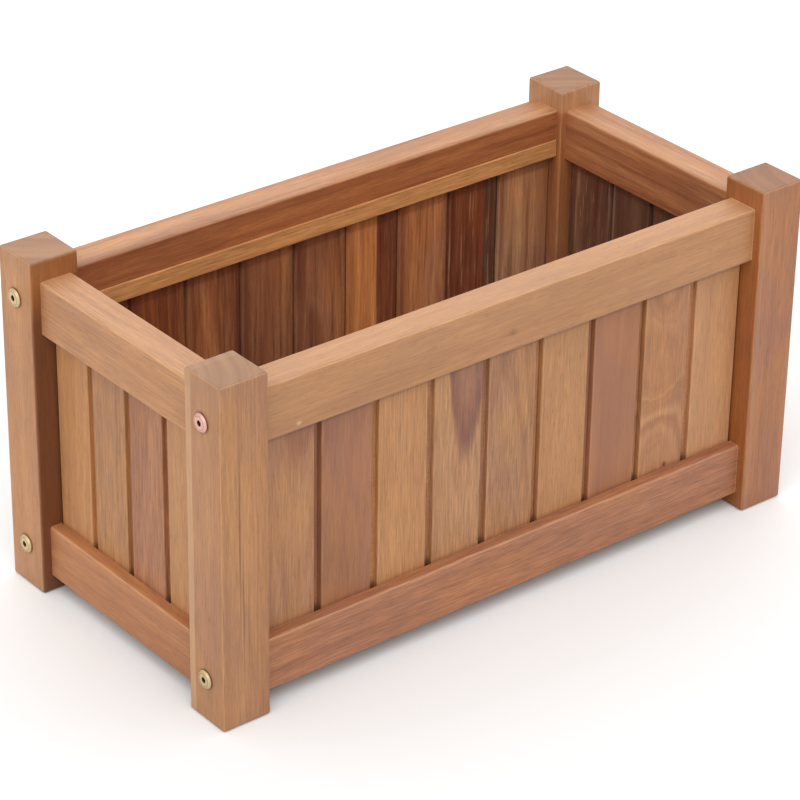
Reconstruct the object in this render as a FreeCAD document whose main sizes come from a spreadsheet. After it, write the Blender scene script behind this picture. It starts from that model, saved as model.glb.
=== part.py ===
import FreeCAD, Part
import math
import os
import re
import Sketcher

# Raised planter box of teak: four posts, railed walls of tongue-and-groove slats and a slatted floor.
# Lengths are in millimetres. +X runs along the box, +Y to its back and +Z up from the floor it stands on.

# Name, size and meaning of every driving dimension.
SIZES = [
    ("body_length", "500", "length over the outer faces of the posts"),
    ("body_width", "250", "width over the outer faces of the posts"),
    ("post_height", "255", "height of a post"),
    ("post_width", "38", "side of a post's square section"),
    ("post_rounding", "2", "rounding of a post's upright and top edges"),
    ("post_foot_chamfer", "1.5", "chamfer round a post's foot"),
    ("rail_height", "40", "height of a rail"),
    ("rail_thickness", "25.5", "thickness of a rail"),
    ("rail_setback", "7.5", "outer face of a post in to the outer face of a rail"),
    ("rail_rounding", "2", "rounding of a rail's long edges"),
    ("rail_top_drop", "15", "top of the posts down to the top of the rails"),
    ("foot_height", "12", "floor up to the underside of the bottom rails"),
    ("rail_inner_lip", "5", "wood left inside the slat groove of a rail"),
    ("slat_thickness", "11", "thickness of a wall slat"),
    ("slat_rounding", "1", "rounding of the upright edges of a slat's two faces"),
    ("slat_seat", "8", "depth of the groove that a slat's end sits in"),
    ("slat_play", "0.3", "play of a slat across its groove"),
    ("slat_head_gap", "0.5", "room above a slat for the wood to move"),
    ("panel_side_gap", "1.5", "gap between the outermost slats and the posts"),
    ("long_slat_count", "9", "slats in a long wall"),
    ("end_slat_count", "4", "slats in a short wall"),
    ("tongue_thickness", "4", "thickness of a slat's tongue"),
    ("tongue_reach", "4.5", "reach of the tongue into the next slat"),
    ("tongue_show", "6", "width of the tongue that shows between two slats, inside and outside"),
    ("tongue_play", "0.15", "play on either side of the tongue"),
    ("tongue_end_gap", "0.5", "room in front of the tongue's edge"),
    ("rebate_height", "16.5", "height of the rebate inside a long top rail"),
    ("bead_height", "13.5", "height of the bead that closes the rebate"),
    ("bead_stand_out", "1", "bead's face in front of the rail's inner face"),
    ("bead_rounding", "0.8", "rounding of the bead's inner edges"),
    ("bead_side_gap", "0.3", "gap between the bead and the posts"),
    ("tenon_thickness", "10", "thickness of the tenon on a short rail"),
    ("tenon_shoulder", "4", "shoulder above and below the tenon"),
    ("tenon_bolt_wall", "3.5", "wood between the tenon and the bolt hole"),
    ("tenon_play", "0.15", "play round the tenon in its mortise"),
    ("bolt_diameter", "6", "diameter of a corner bolt"),
    ("bolt_length", "60", "length of a corner bolt under its head"),
    ("bolt_head_width", "13.5", "diameter of the bolt's flat head"),
    ("bolt_head_height", "2.2", "height of the bolt's head"),
    ("bolt_head_rim", "0.8", "straight part of the head's rim"),
    ("bolt_head_bevel", "1.2", "width of the bevel round the head"),
    ("bolt_tip_chamfer", "0.8", "chamfer of the bolt's tip"),
    ("bolt_socket_width", "4", "hexagon socket across flats"),
    ("bolt_socket_depth", "2.6", "depth of the hexagon socket"),
    ("bolt_play", "0.5", "play round the bolt in the post"),
    ("bolt_tip_room", "4", "hole past the bolt's tip"),
    ("bolt_rebate_wall", "2", "wood between the upper insert and the rebate"),
    ("bolt_groove_wall", "6.5", "wood between the lower insert and the slat groove"),
    ("insert_diameter", "10", "outside of a threaded insert"),
    ("insert_length", "15", "length of a threaded insert"),
    ("thread_play", "0.05", "play round a threaded piece"),
    ("ledger_width", "18", "width of a floor ledger"),
    ("ledger_height", "18", "height of a floor ledger"),
    ("ledger_rise", "6", "underside of the bottom rail up to the ledger"),
    ("ledger_side_gap", "0.5", "gap between a ledger's end and the post"),
    ("ledger_screw_diameter", "4", "diameter of a ledger screw"),
    ("ledger_screw_head", "8", "head diameter of a ledger screw"),
    ("ledger_screw_length", "36", "length of a ledger screw"),
    ("floor_board_count", "9", "boards in the floor"),
    ("floor_board_thickness", "10", "thickness of a floor board"),
    ("floor_board_rounding", "1.5", "rounding of a floor board's upper edges"),
    ("floor_gap", "4.5", "drainage gap between two floor boards"),
    ("floor_end_gap", "1", "gap at the ends and sides of the floor"),
    ("floor_screw_diameter", "3.5", "diameter of a floor screw"),
    ("floor_screw_head", "7", "head diameter of a floor screw"),
    ("floor_screw_length", "25", "length of a floor screw"),
    ("screw_tip_length", "4", "pointed end of a screw"),
    ("screw_tip_room", "1", "hole past a screw's tip"),
    ("screw_recess_reach", "1.9", "reach of the cross recess from the middle of a screw's head"),
    ("screw_recess_width", "1", "width of one arm of the cross recess"),
    ("screw_recess_depth", "1.2", "depth of the cross recess"),
]
NAMES = {name for name, size, meaning in SIZES}

# Sizes that follow from the driving dimensions.
LONG_SPAN = "(body_length - 2 * post_width)"
END_SPAN = "(body_width - 2 * post_width)"
LONG_POST_OUT = "((body_width - post_width) / 2)"
END_POST_OUT = "((body_length - post_width) / 2)"
RAIL_SHIFT = "(rail_setback + rail_thickness / 2 - post_width / 2)"
LONG_RAIL_OUT = f"({LONG_POST_OUT} - {RAIL_SHIFT})"
END_RAIL_OUT = f"({END_POST_OUT} - {RAIL_SHIFT})"
TOP_RAIL_FOOT = "(post_height - rail_top_drop - rail_height)"
SLAT_SETBACK = "(rail_thickness - rail_inner_lip - slat_play - slat_thickness)"
SLAT_FOOT = "(foot_height + rail_height - slat_seat)"
BOLT_HOLE = "(bolt_diameter + 2 * bolt_play)"
TOP_BOLT_RISE = "(rebate_height + bolt_rebate_wall + insert_diameter / 2)"
BOTTOM_BOLT_RISE = "(rail_height - slat_seat - bolt_groove_wall - insert_diameter / 2)"
TENON_LENGTH = f"(post_width / 2 - {BOLT_HOLE} / 2 - tenon_bolt_wall)"
TENON_HEIGHT = "(rail_height - slat_seat - 2 * tenon_shoulder)"
BEAD_THICKNESS = "(rail_inner_lip + slat_play + bead_stand_out)"
LEDGER_OUT = f"({LONG_RAIL_OUT} - (rail_thickness + ledger_width) / 2)"
LEDGER_FOOT = "(foot_height + ledger_rise)"
LEDGER_SCREW_RISE = "(ledger_height / 2)"
FLOOR_PITCH = f"(({LONG_SPAN} - 2 * floor_end_gap + floor_gap) / floor_board_count)"
FLOOR_TOP = f"({LEDGER_FOOT} + ledger_height + floor_board_thickness)"

# Turn of each wall about the upright axis, and the place in the box of a point that lies so far along
# the wall, to the right for someone who faces it from outside, and so far out from the middle.
WALLS = {
    "front": (0, "({along})", "-({out})"),
    "right": (90, "({out})", "({along})"),
    "back": (180, "-({along})", "({out})"),
    "left": (270, "-({out})", "-({along})"),
}
LONG_WALLS = ("front", "back")
END_WALLS = ("left", "right")

doc = FreeCAD.newDocument("planter_box")
sheet = doc.addObject("Spreadsheet::Sheet", "Sizes")
nodes = []


def fill_sheet():
    """Write the driving dimensions into the sheet, one row each."""
    for row, (name, size, meaning) in enumerate(SIZES, start=1):
        sheet.set(f"A{row}", meaning)
        sheet.set(f"B{row}", size)
        sheet.setAlias(f"B{row}", name)
    doc.recompute()


def formula(text):
    """Point each size name in a formula at its cell in the sheet."""
    return re.sub(r"[a-z_]+", lambda word: f"Sizes.{word[0]}" if word[0] in NAMES else word[0], text)


def count(name):
    """Read a number of pieces from the sheet."""
    return int(sheet.get(name))


def new_body(label):
    """Start a solid piece."""
    body = doc.addObject("PartDesign::Body", label)
    body.Label = label
    return body


def new_sketch(body, plane, offset="0"):
    """Start a sketch on one of the body's own planes, moved along that plane's normal."""
    sketch = body.newObject("Sketcher::SketchObject", "sketch")
    support = next(item for item in body.Origin.OriginFeatures if item.Role == plane)
    sketch.AttachmentSupport = [(support, "")]
    sketch.MapMode = "FlatFace"
    sketch.setExpression("AttachmentOffset.Base.z", formula(offset))
    return sketch


def bind(sketch, kind, size, *points):
    """Add a dimension whose value is a formula."""
    index = sketch.addConstraint(Sketcher.Constraint(kind, *points, 1.0))
    sketch.setExpression(f"Constraints[{index}]", formula(size))


def draw_outline(sketch, corners):
    """Draw a closed ring of straight lines through corners given as formulas."""
    first = sketch.GeometryCount
    total = len(corners)
    ring = []
    for turn in range(total + 1):
        angle = 2 * math.pi * turn / total
        ring.append(FreeCAD.Vector(math.cos(angle), math.sin(angle), 0))
    for start, end in zip(ring, ring[1:]):
        sketch.addGeometry(Part.LineSegment(start, end), False)
    for index in range(total):
        after = first + (index + 1) % total
        sketch.addConstraint(Sketcher.Constraint("Coincident", first + index, 2, after, 1))
    for index, (across, up) in enumerate(corners):
        bind(sketch, "DistanceX", across, -1, 1, first + index, 1)
        bind(sketch, "DistanceY", up, -1, 1, first + index, 1)


def draw_rectangle(sketch, left, right, bottom, top):
    """Draw an upright rectangle between four formulas."""
    draw_outline(sketch, [(left, bottom), (right, bottom), (right, top), (left, top)])


def draw_circle(sketch, across, up, diameter):
    """Draw a circle whose middle and diameter are formulas."""
    ring = sketch.addGeometry(Part.Circle(FreeCAD.Vector(), FreeCAD.Vector(0, 0, 1), 1), False)
    bind(sketch, "DistanceX", across, -1, 1, ring, 3)
    bind(sketch, "DistanceY", up, -1, 1, ring, 3)
    bind(sketch, "Diameter", diameter, ring)


def add_pad(body, sketch, length):
    """Thicken a sketch along its normal."""
    pad = body.newObject("PartDesign::Pad", "pad")
    pad.Profile = sketch
    pad.setExpression("Length", formula(length))
    return pad


def add_pocket(body, sketch, depth, along_normal=False):
    """Cut a sketch into the body, against its normal or along it."""
    pocket = body.newObject("PartDesign::Pocket", "pocket")
    pocket.Profile = sketch
    pocket.Reversed = along_normal
    pocket.setExpression("Length", formula(depth))
    return pocket


def add_countersinks(body, sketch, diameter, head, along_normal=False):
    """Drill the circles of a sketch right through, with a countersink for a flush head."""
    doc.recompute()
    hole = body.newObject("PartDesign::Hole", "hole")
    hole.Profile = sketch
    hole.Reversed = along_normal
    hole.DepthType = "ThroughAll"
    hole.ThreadType = "None"
    hole.HoleCutType = "Countersink"
    hole.HoleCutCountersinkAngle = 90
    hole.setExpression("Diameter", formula(diameter))
    hole.setExpression("HoleCutDiameter", formula(head))
    return hole


def add_revolution(body, sketch, axis):
    """Turn a sketch once round one of its own axes."""
    revolution = body.newObject("PartDesign::Revolution", "revolution")
    revolution.Profile = sketch
    revolution.ReferenceAxis = (sketch, [axis])
    revolution.Angle = 360
    return revolution


def dress_edges(body, kind, size_name, size, base, wanted):
    """Round or chamfer the edges of a feature that pass a test."""
    doc.recompute()
    edges = [f"Edge{number}" for number, edge in enumerate(base.Shape.Edges, start=1) if wanted(edge)]
    dress = body.newObject(kind, "edges")
    dress.Base = (base, edges)
    dress.setExpression(size_name, formula(size))
    return dress


def runs_along(edge, axis):
    """Tell whether an edge is straight and parallel to an axis."""
    start, end = edge.Vertexes[0].Point, edge.Vertexes[-1].Point
    return abs((end - start).normalize().dot(axis)) > 0.999


def at(value, level):
    """Tell whether a coordinate lies on a level."""
    return abs(value - level) < 1e-4


def place(piece, wall, along, out, up, tilt=0):
    """Stand a piece in a wall's own directions, tilted first about its own X axis."""
    turn, across, deep = WALLS[wall]
    turned = FreeCAD.Rotation(FreeCAD.Vector(0, 0, 1), turn)
    tilted = FreeCAD.Rotation(FreeCAD.Vector(1, 0, 0), tilt)
    piece.Placement = FreeCAD.Placement(FreeCAD.Vector(), turned.multiply(tilted))
    piece.setExpression("Placement.Base.x", formula(across.format(along=along, out=out)))
    piece.setExpression("Placement.Base.y", formula(deep.format(along=along, out=out)))
    piece.setExpression("Placement.Base.z", formula(up))


def group(label, pieces):
    """Keep identical loose pieces together as one node of separate solids."""
    compound = doc.addObject("Part::Compound", label)
    compound.Label = label
    compound.Links = pieces
    nodes.append(compound)


def tenon_foot(level):
    """Height of a tenon's underside above its rail's underside, clear of the slat groove."""
    return "(slat_seat + tenon_shoulder)" if level == "top" else "tenon_shoulder"


def rail_foot(level):
    """Height of a rail's underside."""
    return TOP_RAIL_FOOT if level == "top" else "foot_height"


def bolt_rise(level):
    """Height of a bolt's axis above its rail's underside."""
    return TOP_BOLT_RISE if level == "top" else BOTTOM_BOLT_RISE


def make_post(label, wall, side):
    """Square post: bolt holes run along the box, and the mortises face the other post of its end."""
    body = new_body(label)
    section = new_sketch(body, "XY_Plane")
    draw_rectangle(section, "-post_width / 2", "post_width / 2", "-post_width / 2", "post_width / 2")
    shaft = add_pad(body, section, "post_height")
    upright = FreeCAD.Vector(0, 0, 1)
    doc.recompute()
    top = shaft.Shape.BoundBox.ZMax
    rounded = dress_edges(
        body, "PartDesign::Fillet", "Radius", "post_rounding", shaft,
        lambda edge: runs_along(edge, upright) or at(edge.CenterOfMass.z, top),
    )
    dress_edges(
        body, "PartDesign::Chamfer", "Size", "post_foot_chamfer", rounded,
        lambda edge: at(edge.CenterOfMass.z, 0),
    )
    drilling = new_sketch(body, "YZ_Plane", "post_width / 2")
    mortises = new_sketch(body, "XZ_Plane", "-post_width / 2")
    for level in ("top", "bottom"):
        draw_circle(drilling, "0", f"{rail_foot(level)} + {bolt_rise(level)}", BOLT_HOLE)
        foot = f"{rail_foot(level)} + {tenon_foot(level)}"
        draw_rectangle(
            mortises, "-tenon_thickness / 2 - tenon_play", "tenon_thickness / 2 + tenon_play",
            f"{foot} - tenon_play", f"{foot} + {TENON_HEIGHT} + tenon_play",
        )
    add_pocket(body, drilling, "post_width")
    add_pocket(body, mortises, f"{TENON_LENGTH} + tenon_play", along_normal=True)
    place(body, wall, f"{side} * {END_POST_OUT}", LONG_POST_OUT, "0")
    nodes.append(body)


def rail_section(wall, level):
    """Corners of a rail's cross-section, outer face first, with its slat groove or rebate."""
    outer, inner = "-rail_thickness / 2", "rail_thickness / 2"
    groove_outer = f"{outer} + {SLAT_SETBACK}"
    groove_inner = f"{inner} - rail_inner_lip"
    if level == "bottom":
        seat = "rail_height - slat_seat"
        return [
            (outer, "0"), (inner, "0"), (inner, "rail_height"), (groove_inner, "rail_height"),
            (groove_inner, seat), (groove_outer, seat), (groove_outer, "rail_height"), (outer, "rail_height"),
        ]
    if wall in LONG_WALLS:
        return [
            (outer, "0"), (groove_outer, "0"), (groove_outer, "rebate_height"),
            (inner, "rebate_height"), (inner, "rail_height"), (outer, "rail_height"),
        ]
    return [
        (outer, "0"), (groove_outer, "0"), (groove_outer, "slat_seat"), (groove_inner, "slat_seat"),
        (groove_inner, "0"), (inner, "0"), (inner, "rail_height"), (outer, "rail_height"),
    ]


def drill_rail_end(body, level, end, along_normal):
    """Hole for a threaded insert in one end of a long rail, and for the bolt's tip behind it."""
    for diameter, depth in (
        ("insert_diameter + 2 * thread_play", "insert_length"),
        (BOLT_HOLE, "bolt_length - post_width + bolt_tip_room"),
    ):
        drilling = new_sketch(body, "YZ_Plane", end)
        draw_circle(drilling, f"-{RAIL_SHIFT}", bolt_rise(level), diameter)
        add_pocket(body, drilling, depth, along_normal)


def ledger_screw_places():
    """Places of the ledger screws along a long wall, each under a gap between two floor boards."""
    boards = count("floor_board_count")
    return [f"({gap} - floor_board_count / 2) * {FLOOR_PITCH}" for gap in (1, 3, boards - 3, boards - 1)]


def make_rail(wall, level):
    """Rail between two posts: a long one takes bolts in its ends, a short one has stub tenons."""
    body = new_body(f"rail_{wall}_{level}")
    span = LONG_SPAN if wall in LONG_WALLS else END_SPAN
    section = new_sketch(body, "YZ_Plane", f"-{span} / 2")
    draw_outline(section, rail_section(wall, level))
    bar = add_pad(body, section, span)
    doc.recompute()
    box = bar.Shape.BoundBox
    lengthwise = FreeCAD.Vector(1, 0, 0)

    def outer_corner(edge):
        middle = edge.CenterOfMass
        on_side = at(middle.y, box.YMin) or at(middle.y, box.YMax)
        return runs_along(edge, lengthwise) and on_side and (at(middle.z, box.ZMin) or at(middle.z, box.ZMax))

    dress_edges(body, "PartDesign::Fillet", "Radius", "rail_rounding", bar, outer_corner)
    if wall in LONG_WALLS:
        drill_rail_end(body, level, f"{span} / 2", False)
        drill_rail_end(body, level, f"-{span} / 2", True)
    else:
        tenon = new_sketch(body, "YZ_Plane", f"-{span} / 2 - {TENON_LENGTH}")
        foot = tenon_foot(level)
        middle = f"-{RAIL_SHIFT}"
        draw_rectangle(
            tenon, f"{middle} - tenon_thickness / 2", f"{middle} + tenon_thickness / 2",
            foot, f"{foot} + {TENON_HEIGHT}",
        )
        add_pad(body, tenon, f"{span} + 2 * {TENON_LENGTH}")
    if wall in LONG_WALLS and level == "bottom":
        drilling = new_sketch(body, "XZ_Plane", "-rail_thickness / 2")
        for along in ledger_screw_places():
            draw_circle(
                drilling, along, f"ledger_rise + {LEDGER_SCREW_RISE}", "ledger_screw_diameter + 2 * thread_play"
            )
        add_pocket(body, drilling, "ledger_screw_length - ledger_width + screw_tip_room", along_normal=True)
    place(body, wall, "0", LONG_RAIL_OUT if wall in LONG_WALLS else END_RAIL_OUT, rail_foot(level))
    nodes.append(body)


def slat_section(pitch, grooved, tongued):
    """Corners of a slat's section seen from above, from its groove edge on the outer face."""
    cheek = "(slat_thickness - tongue_thickness) / 2"
    tongue_back = "(slat_thickness + tongue_thickness) / 2"
    corners = [("0", "0")]
    if tongued:
        corners += [
            (f"{pitch} - tongue_show", "0"), (f"{pitch} - tongue_show", cheek),
            (f"{pitch} + tongue_reach", cheek), (f"{pitch} + tongue_reach", tongue_back),
            (f"{pitch} - tongue_show", tongue_back), (f"{pitch} - tongue_show", "slat_thickness"),
        ]
    else:
        corners += [(pitch, "0"), (pitch, "slat_thickness")]
    corners.append(("0", "slat_thickness"))
    if grooved:
        depth = "tongue_reach + tongue_end_gap"
        corners += [
            ("0", f"{tongue_back} + tongue_play"), (depth, f"{tongue_back} + tongue_play"),
            (depth, f"{cheek} - tongue_play"), ("0", f"{cheek} - tongue_play"),
        ]
    return corners


def turn_slat(pitch, corners):
    """Corners of the same section with its tongue to the left instead of the right."""
    return [(f"{pitch} - ({across})", depth) for across, depth in reversed(corners)]


def make_slats(wall):
    """Row of upright slats, with tongues to the left in a long wall and to the right in a short one."""
    is_long = wall in LONG_WALLS
    count_name = "long_slat_count" if is_long else "end_slat_count"
    span = LONG_SPAN if is_long else END_SPAN
    pitch = f"(({span} - 2 * panel_side_gap) / {count_name})"
    seat = "rebate_height" if is_long else "slat_seat"
    length = f"{TOP_RAIL_FOOT} + {seat} - slat_head_gap - {SLAT_FOOT}"
    middle = LONG_RAIL_OUT if is_long else END_RAIL_OUT
    out = f"{middle} + rail_thickness / 2 - {SLAT_SETBACK}"
    upright = FreeCAD.Vector(0, 0, 1)
    total = count(count_name)
    for number in range(1, total + 1):
        body = new_body(f"slat_{wall}_{number}")
        section = new_sketch(body, "XY_Plane")
        if is_long:
            corners = turn_slat(pitch, slat_section(pitch, number < total, number > 1))
        else:
            corners = slat_section(pitch, number > 1, number < total)
        draw_outline(section, corners)
        board = add_pad(body, section, length)
        doc.recompute()
        inner = board.Shape.BoundBox.YMax
        dress_edges(
            body, "PartDesign::Fillet", "Radius", "slat_rounding", board,
            lambda edge: runs_along(edge, upright) and (at(edge.CenterOfMass.y, 0) or at(edge.CenterOfMass.y, inner)),
        )
        place(body, wall, f"-{span} / 2 + panel_side_gap + {number - 1} * {pitch}", out, SLAT_FOOT)
        nodes.append(body)


def make_bead(wall):
    """Strip that closes the rebate of a long top rail and holds the slat tops in it."""
    body = new_body(f"slat_bead_{wall}")
    length = f"({LONG_SPAN} - 2 * bead_side_gap)"
    section = new_sketch(body, "YZ_Plane", f"-{length} / 2")
    draw_rectangle(section, "0", BEAD_THICKNESS, "-bead_height", "0")
    strip = add_pad(body, section, length)
    doc.recompute()
    inner = strip.Shape.BoundBox.YMax
    lengthwise = FreeCAD.Vector(1, 0, 0)
    dress_edges(
        body, "PartDesign::Fillet", "Radius", "bead_rounding", strip,
        lambda edge: runs_along(edge, lengthwise) and at(edge.CenterOfMass.y, inner),
    )
    out = f"{LONG_RAIL_OUT} + rail_thickness / 2 - {SLAT_SETBACK} - slat_thickness"
    place(body, wall, "0", out, f"{TOP_RAIL_FOOT} + rebate_height")
    nodes.append(body)


def make_ledger(wall):
    """Batten inside a long bottom rail that carries the floor boards."""
    body = new_body(f"floor_ledger_{wall}")
    length = f"({LONG_SPAN} - 2 * ledger_side_gap)"
    section = new_sketch(body, "YZ_Plane", f"-{length} / 2")
    draw_rectangle(section, "-ledger_width / 2", "ledger_width / 2", "0", "ledger_height")
    add_pad(body, section, length)
    rail_screws = new_sketch(body, "XZ_Plane", "-ledger_width / 2")
    for along in ledger_screw_places():
        draw_circle(rail_screws, along, LEDGER_SCREW_RISE, "ledger_screw_diameter")
    add_countersinks(
        body, rail_screws, "ledger_screw_diameter + 2 * thread_play",
        "ledger_screw_head + 2 * thread_play", along_normal=True,
    )
    board_screws = new_sketch(body, "XY_Plane", "ledger_height")
    for number in range(count("floor_board_count")):
        draw_circle(board_screws, floor_board_place(number), "0", "floor_screw_diameter + 2 * thread_play")
    add_pocket(body, board_screws, "floor_screw_length - floor_board_thickness + screw_tip_room")
    place(body, wall, "0", LEDGER_OUT, LEDGER_FOOT)
    nodes.append(body)


def floor_board_place(number):
    """Middle of a floor board along the box."""
    return f"({number} + 0.5 - floor_board_count / 2) * {FLOOR_PITCH}"


def make_floor_board(number):
    """Board across the two ledgers, with a countersunk screw hole over each."""
    body = new_body(f"floor_board_{number + 1}")
    length = f"(2 * {LONG_RAIL_OUT} - rail_thickness - 2 * floor_end_gap)"
    width = f"({FLOOR_PITCH} - floor_gap)"
    outline = new_sketch(body, "XY_Plane")
    draw_rectangle(outline, f"-{width} / 2", f"{width} / 2", f"-{length} / 2", f"{length} / 2")
    board = add_pad(body, outline, "floor_board_thickness")
    doc.recompute()
    top = board.Shape.BoundBox.ZMax
    across = FreeCAD.Vector(0, 1, 0)
    dress_edges(
        body, "PartDesign::Fillet", "Radius", "floor_board_rounding", board,
        lambda edge: runs_along(edge, across) and at(edge.CenterOfMass.z, top),
    )
    drilling = new_sketch(body, "XY_Plane", "floor_board_thickness")
    draw_circle(drilling, "0", LEDGER_OUT, "floor_screw_diameter")
    draw_circle(drilling, "0", f"-{LEDGER_OUT}", "floor_screw_diameter")
    add_countersinks(
        body, drilling, "floor_screw_diameter + 2 * thread_play", "floor_screw_head + 2 * thread_play"
    )
    place(body, "front", floor_board_place(number), "0", f"{LEDGER_FOOT} + ledger_height")
    nodes.append(body)


def make_bolt(label):
    """Flat-headed bolt with a hexagon socket, its shank along +X from under the head."""
    body = new_body(label)
    radius = "bolt_diameter / 2"
    rim = "bolt_head_width / 2"
    profile = new_sketch(body, "XZ_Plane")
    draw_outline(profile, [
        ("-bolt_head_height", "0"), ("-bolt_head_height", f"{rim} - bolt_head_bevel"),
        ("-bolt_head_rim", rim), ("0", rim), ("0", radius),
        ("bolt_length - bolt_tip_chamfer", radius), ("bolt_length", f"{radius} - bolt_tip_chamfer"),
        ("bolt_length", "0"),
    ])
    add_revolution(body, profile, "H_Axis")
    flat = "bolt_socket_width / 2"
    point = "bolt_socket_width / sqrt(3)"
    socket = new_sketch(body, "YZ_Plane", "-bolt_head_height")
    draw_outline(socket, [
        (flat, f"-{point} / 2"), (flat, f"{point} / 2"), ("0", point),
        (f"-{flat}", f"{point} / 2"), (f"-{flat}", f"-{point} / 2"), ("0", f"-{point}"),
    ])
    add_pocket(body, socket, "bolt_socket_depth", along_normal=True)
    return body


def make_insert(label):
    """Threaded sleeve, its bore along +X from the mouth."""
    body = new_body(label)
    section = new_sketch(body, "YZ_Plane")
    draw_circle(section, "0", "0", "insert_diameter")
    draw_circle(section, "0", "0", "bolt_diameter + 2 * thread_play")
    add_pad(body, section, "insert_length")
    return body


def make_screw(label, kind):
    """Countersunk wood screw with a cross recess, pointing down from the middle of its head."""
    body = new_body(label)
    shank = f"{kind}_screw_diameter / 2"
    head = f"{kind}_screw_head / 2"
    length = f"{kind}_screw_length"
    profile = new_sketch(body, "XZ_Plane")
    draw_outline(profile, [
        ("0", "0"), (head, "0"), (shank, f"-({head} - {shank})"),
        (shank, f"-({length} - screw_tip_length)"), ("0", f"-{length}"),
    ])
    add_revolution(body, profile, "V_Axis")
    reach = "screw_recess_reach"
    arm = "screw_recess_width / 2"
    recess = new_sketch(body, "XY_Plane")
    draw_outline(recess, [
        (reach, f"-{arm}"), (reach, arm), (arm, arm), (arm, reach), (f"-{arm}", reach), (f"-{arm}", arm),
        (f"-{reach}", arm), (f"-{reach}", f"-{arm}"), (f"-{arm}", f"-{arm}"), (f"-{arm}", f"-{reach}"),
        (arm, f"-{reach}"), (arm, f"-{arm}"),
    ])
    add_pocket(body, recess, "screw_recess_depth")
    return body


def make_corner_fixings():
    """Bolts through the posts along the box, and the inserts in the rail ends that take them."""
    bolts = []
    inserts = []
    for wall in END_WALLS:
        for side in (-1, 1):
            for level in ("top", "bottom"):
                across = f"{side} * {LONG_POST_OUT}"
                height = f"{rail_foot(level)} + {bolt_rise(level)}"
                bolt = make_bolt(f"corner_bolt_{len(bolts) + 1}")
                insert = make_insert(f"threaded_insert_{len(inserts) + 1}")
                for piece, out in ((bolt, "body_length / 2"), (insert, "body_length / 2 - post_width")):
                    place_end_fixing(piece, wall, across, out, height)
                bolts.append(bolt)
                inserts.append(insert)
    group("corner_bolts", bolts)
    group("threaded_inserts", inserts)


def place_end_fixing(piece, wall, across, out, height):
    """Point a fixing's +X axis inwards through an end wall."""
    inward = 0 if wall == "left" else 180
    sign = "-" if wall == "left" else ""
    piece.Placement = FreeCAD.Placement(
        FreeCAD.Vector(), FreeCAD.Rotation(FreeCAD.Vector(0, 0, 1), inward)
    )
    piece.setExpression("Placement.Base.x", formula(f"{sign}({out})"))
    piece.setExpression("Placement.Base.y", formula(across))
    piece.setExpression("Placement.Base.z", formula(height))


def make_floor_fixings():
    """Screws through the ledgers into the long bottom rails, and down through the boards."""
    ledger_screws = []
    floor_screws = []
    for wall in LONG_WALLS:
        for along in ledger_screw_places():
            screw = make_screw(f"ledger_screw_{len(ledger_screws) + 1}", "ledger")
            inner_face = f"{LEDGER_OUT} - ledger_width / 2"
            place(screw, wall, along, inner_face, f"{LEDGER_FOOT} + {LEDGER_SCREW_RISE}", tilt=-90)
            ledger_screws.append(screw)
        for number in range(count("floor_board_count")):
            screw = make_screw(f"floor_screw_{len(floor_screws) + 1}", "floor")
            place(screw, wall, floor_board_place(number), LEDGER_OUT, FLOOR_TOP)
            floor_screws.append(screw)
    group("ledger_screws", ledger_screws)
    group("floor_screws", floor_screws)


def build():
    """Make every piece."""
    fill_sheet()
    make_post("post_front_left", "front", -1)
    make_post("post_front_right", "front", 1)
    make_post("post_back_left", "back", 1)
    make_post("post_back_right", "back", -1)
    for wall in WALLS:
        make_rail(wall, "top")
        make_rail(wall, "bottom")
        make_slats(wall)
    for wall in LONG_WALLS:
        make_bead(wall)
        make_ledger(wall)
    for number in range(count("floor_board_count")):
        make_floor_board(number)
    make_corner_fixings()
    make_floor_fixings()
    doc.recompute()


def check():
    """Stop if a feature failed, a cut removed nothing or a piece is not a sound solid."""
    for item in doc.Objects:
        if "Invalid" in item.State or "Error" in item.State:
            raise RuntimeError(f"{item.Name} of {item.Label} failed to build")
        if item.TypeId in ("PartDesign::Pocket", "PartDesign::Hole"):
            if item.Shape.Volume > item.BaseFeature.Shape.Volume - 1e-3:
                raise RuntimeError(f"{item.Name} cuts nothing")
    for node in nodes:
        if node.Shape.isNull() or not node.Shape.isValid():
            raise RuntimeError(f"{node.Label} is not a valid shape")


def write():
    """Write one file for each node."""
    os.makedirs("parts", exist_ok=True)
    for node in nodes:
        node.Shape.exportStep(f"parts/{node.Label}.step")
        print(node.Label, len(node.Shape.Solids), round(node.Shape.Volume / 1000, 2), "cm3")


build()
check()
write()
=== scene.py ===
"""Looks of a raised planter box of teak: its boards, its fixings and a plain studio round it."""

import math
from dataclasses import dataclass
from itertools import cycle

import bmesh
import bpy
from mathutils import Euler, Matrix, Vector


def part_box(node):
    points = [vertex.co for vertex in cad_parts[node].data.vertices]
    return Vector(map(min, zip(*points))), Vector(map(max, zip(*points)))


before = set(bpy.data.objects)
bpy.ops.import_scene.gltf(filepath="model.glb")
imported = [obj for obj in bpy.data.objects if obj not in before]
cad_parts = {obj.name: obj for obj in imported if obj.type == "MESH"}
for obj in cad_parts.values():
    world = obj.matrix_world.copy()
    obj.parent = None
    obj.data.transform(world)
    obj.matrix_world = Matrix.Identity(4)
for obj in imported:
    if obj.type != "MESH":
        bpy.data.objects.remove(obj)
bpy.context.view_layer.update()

bl_info = {
    "name": "Raised Planter Box",
    "version": (1, 0, 0),
    "blender": (4, 5, 0),
    "location": "3D View > Sidebar > Planter",
    "description": "Finishes the boards and fixings of a teak planter box and sets up a plain studio",
    "category": "Object",
}

MM = 1000.0
FRAME_PIXELS = 800
WHITE = (1.0, 1.0, 1.0, 1.0)
SEEN_RAYS = ("Is Camera Ray", "Is Glossy Ray", "Is Transmission Ray")

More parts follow.
